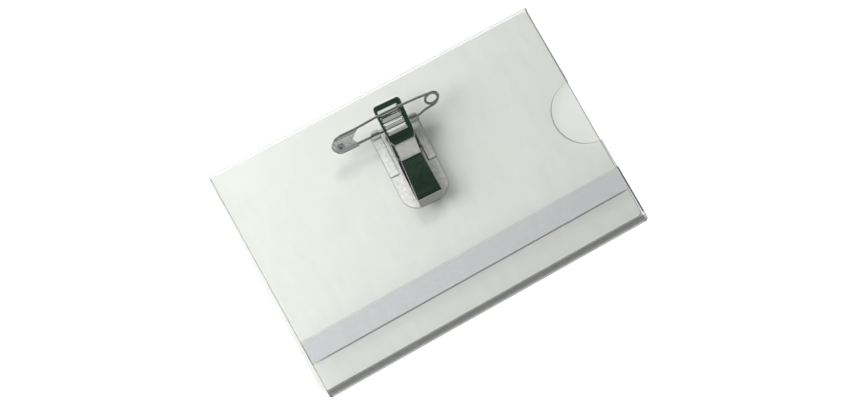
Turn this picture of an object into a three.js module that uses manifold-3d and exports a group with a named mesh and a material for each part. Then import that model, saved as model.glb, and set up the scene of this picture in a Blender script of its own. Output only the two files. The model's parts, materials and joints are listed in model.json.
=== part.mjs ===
// Clear name badge holder with a combination clip: a folded clear sheet that holds a card, and on its back a
// moulded base that carries a sprung alligator clip and a safety pin. Millimetres, +Z up.
// The holder lies on its front face. +X runs along its long side, +Y towards its top crease, +Z out of its back.
import * as THREE from 'three';
import { mergeVertices } from 'three/addons/utils/BufferGeometryUtils.js';
import Module from 'manifold-3d';

const wasm = await Module();
wasm.setup();

// Folded sheet
const POCKET_WIDTH = 90;
const POCKET_HEIGHT = 61.7;
const SHEET = 0.45;
const TOP_BEND = 0.7; // outer radius of the tight crease
const BOTTOM_BEND = 1.7; // outer radius of the open bend
const BACK_LENGTH = 52.75; // from the top crease down to the back panel's lower edge
const FLAP_TOP = 46.35; // from the top crease down to the flap's upper edge
const BACK_INSET = 0.3; // the back panel stops short of the flap at the right end
const CORNER = 0.8;
const NOTCH_RADIUS = 8.35;
const NOTCH_DOWN = 30.2;

// Seam tape and card
const TAPE = 0.1;
const TAPE_GAP = 0.02;
const TAPE_INSET = 0.35;
const CARD = { width: 90.95, height: 58.85, thickness: 0.3, slip: 1, lift: 0.05, rise: 2.15, corner: 1.2 };

// Clip as a whole, in its own frame: origin on the back panel under the clip's pivot
const PIVOT_DOWN = 18.1;
const CLIP_RIGHT = 0.17;
const CLIP_TURN = -2.7; // degrees about the panel's normal
const METAL_RIGHT = 0.2; // the steel clip sits a little to the right in its slot

// Moulded base
const PAD = { gap: 0.03, thickness: 0.15, inset: 0.4 };
const BASE = { half: 6.4, front: -14.2, rear: 7.8, foot: 0.2, top: 1.2, frontRadius: 4.5, rearRadius: 1.2 };
const RAIL = { inner: 3.98, front: -4.4, top: 2.7 };
const EAR_RADIUS = 1.15;
const SNAP_SLOT = 0.56;

// Steel clip
const STEEL = 0.4;
const PIVOT_HEIGHT = 3.4;
const PIVOT_RADIUS = 0.5;
const RUNNING = 0.08;
const FIXED = 0.04;
const LOWER = { half: 3.25, floor: 1.27, front: -12.35, rear: 5.4, lip: 2.45 };
const UPPER = { padHalf: 3.65, neckHalf: 2.8, jawHalf: 3.25, rear: 12.9, jawFront: -12.6, lipFront: -14.1 };
const PAD_TAPER = 0.3; // the pad narrows by this much on either side towards the neck
const RIB = { count: 4, last: 5.15, pitch: 1.7, halfWidth: 0.56, height: 0.42, left: -2.95, right: 2.3 };
const RIVET = { y: -8, shank: 0.8, head: 1.3, headHeight: 0.28 };
const SPRING = { coil: 0.8, wire: 0.2, turns: 3.5, pitch: 0.5 };

// Safety pin, in its own plane: p along its arms, q from the fixed arm to the free arm
const WIRE = 0.33;
const PIN_Y = 6.69;
const PIN_HEIGHT = 3.0;
const PIN_TILT = 52.5; // degrees, where the free arm lies on the lever
const PIN_RIGHT = 0;
const COIL = { p: 10.7, q: 2.9, turns: 1.5, outer: 2.45, inner: 1.35, rise: 0.25, depth: 0.5 };
const CAP = { left: -16.4, right: -9.1, low: -0.72, high: 5.5, sheet: 0.28, cavity: 0.42, notch: 2.2, lipEdge: 0.27 };
const FREE_TIP = -14.6;
const FIXED_TIP = -14.4;

const COLOURS = {
  sheet: { color: 0xe6ebea, roughness: 0.08, metalness: 0 },
  tape: { color: 0xccd4dc, roughness: 0.3, metalness: 0 },
  card: { color: 0xf3f3ef, roughness: 0.8, metalness: 0 },
  mould: { color: 0xdfe4e2, roughness: 0.12, metalness: 0 },
  nickel: { color: 0xb9bcb8, roughness: 0.12, metalness: 1 },
  spring: { color: 0x8f918f, roughness: 0.3, metalness: 1 },
};

// --- Solids -----------------------------------------------------------------------------------------------

function solid(geometry) {
  const bare = geometry.clone();
  bare.deleteAttribute('normal');
  bare.deleteAttribute('uv');
  const merged = mergeVertices(bare, 1e-5);
  const triVerts = Uint32Array.from(merged.index.array);
  const vertProperties = Float32Array.from(merged.attributes.position.array);
  if (signedVolume(vertProperties, triVerts) < 0) {
    for (let i = 0; i < triVerts.length; i += 3) {
      [triVerts[i], triVerts[i + 1]] = [triVerts[i + 1], triVerts[i]];
    }
  }
  return new wasm.Manifold(new wasm.Mesh({ numProp: 3, vertProperties, triVerts }));
}

function signedVolume(points, triangles) {
  const [a, b, c] = [new THREE.Vector3(), new THREE.Vector3(), new THREE.Vector3()];
  let volume = 0;
  for (let i = 0; i < triangles.length; i += 3) {
    a.fromArray(points, 3 * triangles[i]);
    b.fromArray(points, 3 * triangles[i + 1]);
    c.fromArray(points, 3 * triangles[i + 2]);
    volume += a.dot(b.cross(c)) / 6;
  }
  return volume;
}

function piece(name, body, look) {
  const { vertProperties, triVerts, numProp } = body.getMesh();
  const geometry = new THREE.BufferGeometry();
  const points = new Float32Array((vertProperties.length / numProp) * 3);
  for (let i = 0; i < points.length / 3; i += 1) {
    points.set(vertProperties.subarray(i * numProp, i * numProp + 3), 3 * i);
  }
  geometry.setAttribute('position', new THREE.BufferAttribute(points, 3));
  geometry.setIndex(Array.from(triVerts));
  geometry.computeVertexNormals();
  const mesh = new THREE.Mesh(geometry, new THREE.MeshStandardMaterial(look));
  mesh.name = name;
  return mesh;
}

function union(first, ...rest) {
  return rest.reduce((joined, next) => joined.add(next), first);
}

// A (y, z) outline extruded from x0 to x1.
function prismX(outline, x0, x1) {
  const geometry = new THREE.ExtrudeGeometry(new THREE.Shape(outline), { depth: x1 - x0, bevelEnabled: false });
  const [x, y, z] = [new THREE.Vector3(1, 0, 0), new THREE.Vector3(0, 1, 0), new THREE.Vector3(0, 0, 1)];
  geometry.applyMatrix4(new THREE.Matrix4().makeBasis(y, z, x));
  geometry.translate(x0, 0, 0);
  return solid(geometry);
}

// An (x, y) outline extruded from z0 to z1.
function prismZ(shape, z0, z1, curveSegments = 8) {
  const geometry = new THREE.ExtrudeGeometry(shape, { depth: z1 - z0, bevelEnabled: false, curveSegments });
  geometry.translate(0, 0, z0);
  return solid(geometry);
}

function block(x0, x1, y0, y1, z0, z1) {
  const geometry = new THREE.BoxGeometry(x1 - x0, y1 - y0, z1 - z0);
  geometry.translate((x0 + x1) / 2, (y0 + y1) / 2, (z0 + z1) / 2);
  return solid(geometry);
}

function rodX(radius, x0, x1, y, z, sides = 20) {
  const geometry = new THREE.CylinderGeometry(radius, radius, x1 - x0, sides);
  geometry.rotateZ(Math.PI / 2);
  geometry.translate((x0 + x1) / 2, y, z);
  return solid(geometry);
}

function rodZ(radius, z0, z1, x, y, sides = 48) {
  const geometry = new THREE.CylinderGeometry(radius, radius, z1 - z0, sides);
  geometry.rotateX(Math.PI / 2);
  geometry.translate(x, y, (z0 + z1) / 2);
  return solid(geometry);
}

// A round wire along a smooth curve through the given points.
function wire(points, radius, steps, sides = 10) {
  const section = [];
  for (let i = 0; i < sides; i += 1) {
    const a = (2 * Math.PI * i) / sides;
    section.push(new THREE.Vector2(radius * Math.cos(a), radius * Math.sin(a)));
  }
  const path = new THREE.CatmullRomCurve3(points, false, 'centripetal');
  return solid(new THREE.ExtrudeGeometry(new THREE.Shape(section), { steps, extrudePath: path }));
}

function arc(cx, cy, radius, from, to, steps) {
  return Array.from({ length: steps + 1 }, (_, i) => {
    const a = THREE.MathUtils.degToRad(from + ((to - from) * i) / steps);
    return new THREE.Vector2(cx + radius * Math.cos(a), cy + radius * Math.sin(a));
  });
}

function roundedRectangle(x0, x1, y0, y1, lower, upper) {
  const shape = new THREE.Shape();
  shape.moveTo(x0 + lower, y0);
  shape.lineTo(x1 - lower, y0);
  shape.absarc(x1 - lower, y0 + lower, lower, -Math.PI / 2, 0);
  shape.lineTo(x1, y1 - upper);
  shape.absarc(x1 - upper, y1 - upper, upper, 0, Math.PI / 2);
  shape.lineTo(x0 + upper, y1);
  shape.absarc(x0 + upper, y1 - upper, upper, Math.PI / 2, Math.PI);
  shape.lineTo(x0, y0 + lower);
  shape.absarc(x0 + lower, y0 + lower, lower, Math.PI, 1.5 * Math.PI);
  return shape;
}

// A strip of sheet whose upper side follows the points (y, z), with its lower side one thickness below.
function sheetX(points, thickness, x0, x1) {
  const under = points.map((point, i) => {
    const before = points[Math.max(i - 1, 0)];
    const after = points[Math.min(i + 1, points.length - 1)];
    const along = after.clone().sub(before).normalize();
    return new THREE.Vector2(point.x + along.y * thickness, point.y - along.x * thickness);
  });
  return prismX([...points, ...under.reverse()], x0, x1);
}

// --- Pocket -----------------------------------------------------------------------------------------------

// The back panel leans: it is low at the tight top crease and high at the open bottom bend, where it lies on
// the flap. lean is that slope.
const topCentre = new THREE.Vector2(POCKET_HEIGHT / 2 - TOP_BEND, TOP_BEND);
const bottomCentre = new THREE.Vector2(-POCKET_HEIGHT / 2 + BOTTOM_BEND, BOTTOM_BEND);
const lean = Math.asin((2 * (BOTTOM_BEND - TOP_BEND) + SHEET + TAPE) / (topCentre.x - bottomCentre.x));
const leanDegrees = THREE.MathUtils.radToDeg(lean);
const outward = new THREE.Vector2(Math.sin(lean), Math.cos(lean));
const upSlope = new THREE.Vector2(Math.cos(lean), -Math.sin(lean));
const panelTop = topCentre.clone().addScaledVector(outward, TOP_BEND);

// A point on the leaning back, a distance below the top crease and a height over the back panel's face.
function onBack(down, height) {
  return panelTop.clone().addScaledVector(upSlope, TOP_BEND - down).addScaledVector(outward, height);
}

function makePocketShell() {
  const faceAngle = 90 - leanDegrees;
  const outline = [
    onBack(BACK_LENGTH, 0),
    ...arc(topCentre.x, topCentre.y, TOP_BEND, faceAngle, -90, 10),
    ...arc(bottomCentre.x, bottomCentre.y, BOTTOM_BEND, -90, faceAngle - 360, 16),
    onBack(FLAP_TOP, -SHEET - TAPE),
    onBack(FLAP_TOP, -2 * SHEET - TAPE),
    ...arc(bottomCentre.x, bottomCentre.y, BOTTOM_BEND - SHEET, faceAngle - 360, -90, 16),
    ...arc(topCentre.x, topCentre.y, TOP_BEND - SHEET, -90, faceAngle, 10),
    onBack(BACK_LENGTH, -SHEET),
  ];
  const half = POCKET_WIDTH / 2;
  const sheet = prismX(outline, -half, half);
  const plan = roundedRectangle(-half, half, -POCKET_HEIGHT / 2, POCKET_HEIGHT / 2, CORNER, 0.2);
  const notchY = onBack(NOTCH_DOWN, 0).x;
  const notch = rodZ(NOTCH_RADIUS, (BOTTOM_BEND + TOP_BEND) / 2, 6, half - BACK_INSET, notchY, 64);
  const between = -SHEET - TAPE / 2;
  const trim = prismX(
    [onBack(-1, between), onBack(BACK_LENGTH + 1, between), onBack(BACK_LENGTH + 1, 2), onBack(-1, 2)],
    half - BACK_INSET,
    half + 1,
  );
  const trimBelowCrease = block(half - BACK_INSET, half + 1, -half, topCentre.x - 1, TOP_BEND, 6).intersect(trim);
  return sheet.intersect(prismZ(plan, -1, 6, 4)).subtract(notch).subtract(trimBelowCrease);
}

function makeSeamTape() {
  const low = -SHEET - TAPE + TAPE_GAP;
  const high = -SHEET - TAPE_GAP;
  const [top, bottom] = [FLAP_TOP + TAPE_INSET, BACK_LENGTH - TAPE_INSET];
  const outline = [onBack(bottom, low), onBack(top, low), onBack(top, high), onBack(bottom, high)];
  const half = POCKET_WIDTH / 2;
  return prismX(outline, -half + TAPE_INSET, half - BACK_INSET - TAPE_INSET);
}

function makeInsertCard() {
  const left = -POCKET_WIDTH / 2 - CARD.slip;
  const bottom = -POCKET_HEIGHT / 2 + CARD.rise;
  const low = SHEET + CARD.lift;
  const plan = roundedRectangle(left, left + CARD.width, bottom, bottom + CARD.height, CARD.corner, CARD.corner);
  return prismZ(plan, low, low + CARD.thickness, 4);
}

// --- Moulded base -----------------------------------------------------------------------------------------

function makeBasePad() {
  const { gap, thickness, inset } = PAD;
  const radius = BASE.frontRadius - inset;
  const plan = roundedRectangle(-BASE.half + inset, BASE.half - inset, BASE.front + inset, BASE.rear - inset, radius, 1);
  return prismZ(plan, gap, gap + thickness);
}

function makeClipBase() {
  const plan = roundedRectangle(-BASE.half, BASE.half, BASE.front, BASE.rear, BASE.frontRadius, BASE.rearRadius);
  const plate = prismZ(plan, BASE.foot, BASE.top);
  const outer = prismZ(plan, BASE.foot, 2 * PIN_HEIGHT);
  const rails = [-1, 1].map((side) => {
    const [x0, x1] = side < 0 ? [-BASE.half, -RAIL.inner] : [RAIL.inner, BASE.half];
    const rail = block(x0, x1, RAIL.front, BASE.rear, (BASE.foot + BASE.top) / 2, RAIL.top);
    const ear = prismX(
      [
        new THREE.Vector2(PIN_Y - EAR_RADIUS, BASE.top / 2),
        new THREE.Vector2(PIN_Y + EAR_RADIUS, BASE.top / 2),
        ...arc(PIN_Y, PIN_HEIGHT, EAR_RADIUS, 0, 180, 12),
      ],
      x0,
      x1,
    );
    return rail.add(ear).intersect(outer);
  });
  const bore = rodX(WIRE + RUNNING, -BASE.half - 1, BASE.half + 1, PIN_Y, PIN_HEIGHT, 16);
  const slot = block(
    -BASE.half - 1,
    BASE.half + 1,
    PIN_Y - SNAP_SLOT / 2,
    PIN_Y + SNAP_SLOT / 2,
    PIN_HEIGHT,
    PIN_HEIGHT + 2 * EAR_RADIUS,
  );
  const rivetHole = rodZ(RIVET.shank + FIXED, 0, 2, METAL_RIGHT, RIVET.y, 24);
  return union(plate, ...rails).subtract(bore).subtract(slot).subtract(rivetHole);
}

// --- Steel clip, in a frame moved right by METAL_RIGHT ------------------------------------------------------

function makeLowerJaw() {
  const { half, floor, front, rear, lip } = LOWER;
  const top = floor + STEEL;
  const profile = [
    new THREE.Vector2(rear, floor),
    new THREE.Vector2(rear, top),
    new THREE.Vector2(front + STEEL, top),
    new THREE.Vector2(front + STEEL, lip),
    new THREE.Vector2(front, lip),
    ...arc(front + STEEL, top, STEEL, 180, 270, 4),
  ];
  const cheek = [
    new THREE.Vector2(-3.4, floor),
    new THREE.Vector2(4.6, floor),
    new THREE.Vector2(4.2, 2.4),
    ...arc(2.2, 3.6, 1, 30, 90, 4),
    ...arc(-0.6, 3.4, 1.25, 100, 180, 5),
  ];
  const cheeks = union(prismX(cheek, -half, -half + STEEL), prismX(cheek, half - STEEL, half));
  const bore = rodX(PIVOT_RADIUS + FIXED, -half - 1, half + 1, 0, PIVOT_HEIGHT);
  const rivetHole = rodZ(RIVET.shank + FIXED, 0, 3, 0, RIVET.y, 24);
  return prismX(profile, -half, half).add(cheeks).subtract(bore).subtract(rivetHole);
}

// The top line of the upper jaw in (y, z), from the lip at the front to the rolled rear edge of the lever.
function leverTopLine() {
  return [
    new THREE.Vector2(UPPER.lipFront, 1.75),
    new THREE.Vector2(UPPER.jawFront, 3.3),
    new THREE.Vector2(UPPER.jawFront + 0.35, 3.42),
    new THREE.Vector2(-2.3, 4.15),
    new THREE.Vector2(-1.95, 4.27),
    new THREE.Vector2(1.6, 5.75),
    new THREE.Vector2(2.5, 6.02),
    new THREE.Vector2(3.6, 6.18),
    new THREE.Vector2(11.6, 6.95),
    ...arc(11.9, 6.15, 0.85, 85, 10, 4),
  ];
}

function leverPlan() {
  const { padHalf, neckHalf, jawHalf, rear, lipFront } = UPPER;
  const shape = new THREE.Shape();
  shape.moveTo(-jawHalf, lipFront - 1);
  shape.lineTo(jawHalf, lipFront - 1);
  shape.lineTo(neckHalf, -2.1);
  shape.lineTo(neckHalf, 1.8);
  shape.lineTo(padHalf - PAD_TAPER, 3);
  shape.lineTo(padHalf, rear - 1.5);
  shape.absarc(padHalf - 1.5, rear - 1.5, 1.5, 0, Math.PI / 2);
  shape.lineTo(-padHalf + 1.5, rear);
  shape.absarc(-padHalf + 1.5, rear - 1.5, 1.5, Math.PI / 2, Math.PI);
  shape.lineTo(-padHalf + PAD_TAPER, 3);
  shape.lineTo(-neckHalf, 1.8);
  shape.lineTo(-neckHalf, -2.1);
  return shape;
}

function makeUpperJaw() {
  const { padHalf, neckHalf, jawHalf, jawFront, lipFront } = UPPER;
  const plate = sheetX(leverTopLine(), STEEL, -padHalf, padHalf);
  const cheek = [
    new THREE.Vector2(-1.5, 4.3),
    ...arc(0, PIVOT_HEIGHT, 1.05, 190, 350, 8),
    new THREE.Vector2(1.7, 5.6),
  ];
  const skirt = [
    new THREE.Vector2(jawFront + 0.6, 2.75),
    new THREE.Vector2(-3.0, 3.0),
    new THREE.Vector2(-2.5, 3.95),
    new THREE.Vector2(jawFront + 0.6, 3.3),
  ];
  const rim = [
    new THREE.Vector2(6.5, 5.75),
    new THREE.Vector2(11.6, 6.1),
    new THREE.Vector2(11.6, 6.8),
    new THREE.Vector2(6.5, 6.3),
  ];
  const between = new THREE.Shape([
    new THREE.Vector2(STEEL - jawHalf, lipFront - 1),
    new THREE.Vector2(jawHalf - STEEL, lipFront - 1),
    new THREE.Vector2(neckHalf - STEEL, -2.1),
    new THREE.Vector2(STEEL - neckHalf, -2.1),
  ]);
  const sides = [prismX(skirt, -jawHalf, jawHalf).subtract(prismZ(between, 0, 9))];
  for (const [outline, half] of [[cheek, neckHalf], [rim, padHalf]]) {
    sides.push(prismX(outline, -half, -half + STEEL), prismX(outline, half - STEEL, half));
  }
  const ribs = Array.from({ length: RIB.count }, (_, i) => {
    const y = RIB.last + i * RIB.pitch;
    const surface = 6.18 + ((y - 3.6) * 0.77) / 8;
    const crown = arc(0, 0, 1, 0, 180, 8).map(
      (p) => new THREE.Vector2(y + RIB.halfWidth * p.x, surface + RIB.height * p.y),
    );
    const root = [-1, 1].map((side) => new THREE.Vector2(y + side * RIB.halfWidth, surface - STEEL / 2));
    return prismX([...crown, ...root], RIB.left, RIB.right);
  });
  const bore = rodX(PIVOT_RADIUS + RUNNING, -padHalf, padHalf, 0, PIVOT_HEIGHT);
  return union(plate, ...ribs, ...sides).intersect(prismZ(leverPlan(), 0, 9)).subtract(bore);
}

function makePivotPin() {
  const reach = LOWER.half + 0.02;
  const profile = [
    new THREE.Vector2(0, -reach - 0.25),
    new THREE.Vector2(0.5, -reach - 0.22),
    new THREE.Vector2(0.75, -reach - 0.04),
    new THREE.Vector2(0.75, -reach),
    new THREE.Vector2(PIVOT_RADIUS, -reach),
    new THREE.Vector2(PIVOT_RADIUS, reach),
    new THREE.Vector2(0.75, reach),
    new THREE.Vector2(0.75, reach + 0.04),
    new THREE.Vector2(0.5, reach + 0.22),
    new THREE.Vector2(0, reach + 0.25),
  ];
  const geometry = new THREE.LatheGeometry(profile, 20);
  geometry.rotateZ(-Math.PI / 2);
  geometry.translate(0, 0, PIVOT_HEIGHT);
  return solid(geometry);
}

function makeBaseRivet() {
  const seat = LOWER.floor + STEEL + 0.02;
  const profile = [
    new THREE.Vector2(0, BASE.foot + 0.05),
    new THREE.Vector2(RIVET.shank, BASE.foot + 0.05),
    new THREE.Vector2(RIVET.shank, seat),
    new THREE.Vector2(RIVET.head, seat),
    new THREE.Vector2(RIVET.head * 0.8, seat + RIVET.headHeight * 0.8),
    new THREE.Vector2(0, seat + RIVET.headHeight),
  ];
  const geometry = new THREE.LatheGeometry(profile, 24);
  geometry.rotateX(Math.PI / 2);
  geometry.translate(0, RIVET.y, 0);
  return solid(geometry);
}

// A torsion spring round the pivot: one leg on the floor of the lower jaw, the other under the lever.
function makeJawSpring() {
  const { coil, wire: radius, turns, pitch } = SPRING;
  const points = [];
  const start = (-turns * pitch) / 2;
  points.push(new THREE.Vector3(start, 4.6, LOWER.floor + STEEL + radius + 0.05));
  points.push(new THREE.Vector3(start, 2.4, PIVOT_HEIGHT - coil - 0.35));
  const perTurn = 12;
  for (let i = 0; i <= turns * perTurn; i += 1) {
    const a = -Math.PI / 2 - (2 * Math.PI * i) / perTurn;
    const x = start + (pitch * i) / perTurn;
    points.push(new THREE.Vector3(x, coil * Math.cos(a), PIVOT_HEIGHT + coil * Math.sin(a)));
  }
  points.push(new THREE.Vector3(-start, 2.2, PIVOT_HEIGHT + coil + 0.3));
  points.push(new THREE.Vector3(-start, 4.2, 5.45));
  return wire(points, radius, 110, 6);
}

// --- Safety pin, in its own plane -------------------------------------------------------------------------

// Points of the coil from a start angle to an end angle in degrees, where 90 is the free arm's tangent point
// and the wire turns clockwise. The wire starts wide, winds in to the small loop and out again.
function coilPoints(from, to, stepDegrees) {
  const span = 360 * COIL.turns;
  const points = [];
  for (let a = from; a >= to - 1e-6; a -= stepDegrees) {
    const t = (90 - a) / span;
    const radius = COIL.inner + (COIL.outer - COIL.inner) * Math.cos(Math.PI * t) ** 4;
    const centre = COIL.q + COIL.rise * Math.sin(Math.PI * t);
    const angle = THREE.MathUtils.degToRad(a);
    points.push(
      new THREE.Vector3(
        COIL.p + radius * Math.cos(angle),
        centre + radius * Math.sin(angle),
        COIL.depth * (1 - 2 * t),
      ),
    );
  }
  return points;
}

const COIL_SPLIT = 30; // degrees: the free arm keeps the wire down to here
const COIL_END = 90 - 360 * COIL.turns;

function makeFreeArm() {
  const arm = [
    new THREE.Vector3(FREE_TIP + 1.6, 4.72, 0),
    new THREE.Vector3(CAP.right, 4.84, 0.03),
    new THREE.Vector3(-3, 5.45, 0.15),
    new THREE.Vector3(4, 5.62, 0.3),
    new THREE.Vector3(8, 5.55, 0.42),
    ...coilPoints(90, COIL_SPLIT, 15),
  ];
  const point = new THREE.CylinderGeometry(0.04, WIRE, 1.65, 10);
  point.rotateZ(Math.PI / 2 - 0.018);
  point.translate(FREE_TIP + 0.8, 4.705, 0);
  return wire(arm, WIRE, 44).add(solid(point));
}

function makePinCoil() {
  const gap = 3; // degrees left free at either end, between the coil and the arms
  return wire(coilPoints(COIL_SPLIT - gap, COIL_END + gap, 15), WIRE, 60);
}

function makeFixedArm() {
  const arm = [
    ...coilPoints(COIL_END, COIL_END, 15),
    new THREE.Vector3(8.6, 0.2, -0.42),
    new THREE.Vector3(BASE.half + 0.6, 0, -0.02),
    new THREE.Vector3(BASE.half, 0, 0),
    new THREE.Vector3(0, 0, 0),
    new THREE.Vector3(-BASE.half, 0, 0),
    new THREE.Vector3(CAP.right, 0, 0),
    new THREE.Vector3(FIXED_TIP, 0.1, 0),
  ];
  return wire(arm, WIRE, 36);
}

function capOutline(inset) {
  const { left, right, low, high, notch } = CAP;
  const [x0, y0, y1] = [left + inset, low + inset, high - inset];
  const bow = (y1 - y0) / 2;
  const shape = new THREE.Shape();
  shape.moveTo(right - 0.4 + 4 * inset, y0);
  shape.lineTo(right - 1.8, notch);
  shape.lineTo(right + 4 * inset, y1 - 0.5);
  shape.lineTo(right - 0.4 + 4 * inset, y1 - 0.15);
  shape.quadraticCurveTo((x0 + right) / 2, y1 + 0.1, x0 + bow, y1);
  shape.bezierCurveTo(x0 + bow * 0.45, y1, x0, y1 - bow * 0.45, x0, y0 + bow);
  shape.bezierCurveTo(x0, y0 + bow * 0.45, x0 + bow * 0.45, y0, x0 + bow, y0);
  return shape;
}

function makePinCap() {
  const { right, high, sheet, cavity, lipEdge } = CAP;
  const outer = prismZ(capOutline(0), -cavity - sheet, cavity + sheet, 10);
  const inner = prismZ(capOutline(sheet), -cavity, cavity, 10);
  const mouth = block(right - 2.2, right + 2, 0, high - sheet, -cavity, cavity);
  const wireMouth = rodX(WIRE + RUNNING, right - 3, right + 1, 0, 0, 12);
  const open = block(CAP.left - 1, right + 1, CAP.notch, high + 1, -2, lipEdge);
  const dimple = rodZ(0.45, cavity, 2, -14.05, 2.1, 16);
  return outer.subtract(inner).subtract(mouth).subtract(wireMouth).subtract(open).subtract(dimple);
}

// --- Assembly ---------------------------------------------------------------------------------------------

const holder = new THREE.Group();
holder.add(
  piece('pocket_shell', makePocketShell(), COLOURS.sheet),
  piece('seam_tape', makeSeamTape(), COLOURS.tape),
  piece('insert_card', makeInsertCard(), COLOURS.card),
);

const back = new THREE.Group();
back.position.set(0, panelTop.x, panelTop.y);
back.rotation.x = -lean;
holder.add(back);

const clip = new THREE.Group();
clip.position.set(CLIP_RIGHT, TOP_BEND - PIVOT_DOWN, 0);
clip.rotation.z = THREE.MathUtils.degToRad(CLIP_TURN);
back.add(clip);
clip.add(piece('base_pad', makeBasePad(), COLOURS.tape), piece('clip_base', makeClipBase(), COLOURS.mould));

const steel = new THREE.Group();
steel.position.x = METAL_RIGHT;
clip.add(steel);
steel.add(
  piece('lower_jaw', makeLowerJaw(), COLOURS.nickel),
  piece('upper_jaw', makeUpperJaw(), COLOURS.nickel),
  piece('pivot_pin', makePivotPin(), COLOURS.nickel),
  piece('base_rivet', makeBaseRivet(), COLOURS.nickel),
  piece('jaw_spring', makeJawSpring(), COLOURS.spring),
);

const pin = new THREE.Group();
pin.position.set(PIN_RIGHT, PIN_Y, PIN_HEIGHT);
pin.rotation.x = THREE.MathUtils.degToRad(PIN_TILT);
clip.add(pin);
pin.add(
  piece('pin_fixed_arm', makeFixedArm(), COLOURS.nickel),
  piece('pin_coil', makePinCoil(), COLOURS.nickel),
  piece('pin_free_arm', makeFreeArm(), COLOURS.nickel),
  piece('pin_cap', makePinCap(), COLOURS.nickel),
);

export default holder;
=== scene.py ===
"""Looks of a clear name badge holder that lies on its front, with a sprung clip and a pin on its back."""

import json
import math

import bpy
from mathutils import Matrix, Vector, noise


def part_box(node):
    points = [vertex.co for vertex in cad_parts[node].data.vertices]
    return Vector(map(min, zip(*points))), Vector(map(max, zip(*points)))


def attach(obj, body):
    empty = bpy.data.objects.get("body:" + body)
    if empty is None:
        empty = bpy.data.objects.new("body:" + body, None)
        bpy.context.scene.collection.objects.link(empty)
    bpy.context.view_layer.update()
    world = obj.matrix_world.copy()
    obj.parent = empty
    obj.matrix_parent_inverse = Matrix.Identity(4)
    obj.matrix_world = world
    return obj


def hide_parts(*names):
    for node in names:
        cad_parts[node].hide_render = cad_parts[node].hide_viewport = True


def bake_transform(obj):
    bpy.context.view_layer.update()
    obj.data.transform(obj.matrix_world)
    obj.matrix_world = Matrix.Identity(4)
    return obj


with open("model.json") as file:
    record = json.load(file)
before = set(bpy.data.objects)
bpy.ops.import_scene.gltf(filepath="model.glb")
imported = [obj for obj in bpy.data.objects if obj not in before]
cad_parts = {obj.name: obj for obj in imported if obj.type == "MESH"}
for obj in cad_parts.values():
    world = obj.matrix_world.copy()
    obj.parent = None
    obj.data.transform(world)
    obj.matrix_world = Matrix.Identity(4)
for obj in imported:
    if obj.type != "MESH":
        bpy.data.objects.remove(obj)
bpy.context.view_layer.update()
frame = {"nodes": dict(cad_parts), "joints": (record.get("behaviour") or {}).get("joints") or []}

MM = 0.001

# View: the camera's turn, tilt from straight down and roll, in degrees, and its distance from its target
VIEW_TURN, VIEW_TILT, VIEW_ROLL = -64.96, 8.95, 35.96
VIEW_DISTANCE = 392.2 * MM
VIEW_TARGET = Vector((-1.04, -1.47, 3.0)) * MM
LENS, SENSOR = 66.98, 36.0

# Folded sheet, in millimetres, as in the CAD model
SHEET = 0.45
TAPE = 0.1
TOP_BEND, BOTTOM_BEND = 0.7, 1.7  # radii of the crease and of the open bend
BACK_LENGTH, FLAP_TOP = 52.75, 46.35  # from the crease to the back's lower and the flap's upper edge
BACK_INSET = 0.3
CORNER = 0.8
NOTCH_RADIUS, NOTCH_DOWN = 8.35, 30.2

# Where the sheet's materials change, in millimetres
BEND_SHADE_REACH = 0.75  # how far above the bottom bend's centre the sheet carries the bend's painted shade
# The crease line takes the rim's painted shade, and the crease zone a lighter painted shade where the top
# fold looks grey.
CREASE_LINE, CREASE_ZONE = 0.22, 0.3
# Widths of the rims along the sheet's left, back and flap edges, which carry painted shade lines.
LEFT_RIM, BACK_RIM, FLAP_RIM = 0.25, 0.26, 0.4
SHEET_COLUMNS, FLAP_ROWS = 24, 6
FACE, EDGE, BEND, FLAP, CREASE, RIM = range(6)  # the sheet's material slots; the edge, bend, crease and rim slots carry painted shade

# Card: how far its right edge stops short of the CAD card's, its bow and its corners
CARD_SHORT, CARD_BOW, CARD_CORNER = 0.28, 0.1, 1.2

# Steel clip, in the clip's own frame
METAL_RIGHT = 0.2
PIVOT_HEIGHT = 3.4
STEEL = 0.4

# Thumb lever: its half widths, its rear edge and the ribs of its pad
PAD_HALF, PAD_TAPER, NECK_HALF, JAW_HALF = 3.65, 0.2, 2.82, 3.3
LEVER_REAR, LEVER_ROLL, LEVER_CORNER = 12.75, 0.5, 1.4
LEVER_CHEEK = 1.05  # radius of the cheeks round the pivot
LEVER_BEND = 0.24  # radius of the bend between the web and the flanges
RIB_COUNT, RIB_LAST, RIB_PITCH, RIB_WIDTH, RIB_HEIGHT = 4, 5.15, 1.7, 0.6, 0.4
RIB_LEFT, RIB_RIGHT, RIB_END = -2.95, 2.3, 0.25

# Safety pin, in its own plane: p along the arms and q from the fixed arm to the free one
WIRE = 0.33
PIN_Y, PIN_HEIGHT, PIN_TILT = 6.69, 3.0, 52.5
COIL_P, COIL_Q, COIL_TURNS, COIL_OUTER, COIL_INNER = 10.7, 2.9, 1.5, 2.45, 1.35
COIL_RISE, COIL_DEPTH = 0.25, 0.5
COIL_SPLIT = 30
COIL_END = 90 - 360 * COIL_TURNS
FREE_TIP, FIXED_TIP = -14.6, -14.4
POINT_SHARE, POINT_RADIUS = 0.055, 0.04  # the share of the free arm that tapers, and its tip
BASE_HALF = 6.4

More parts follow.
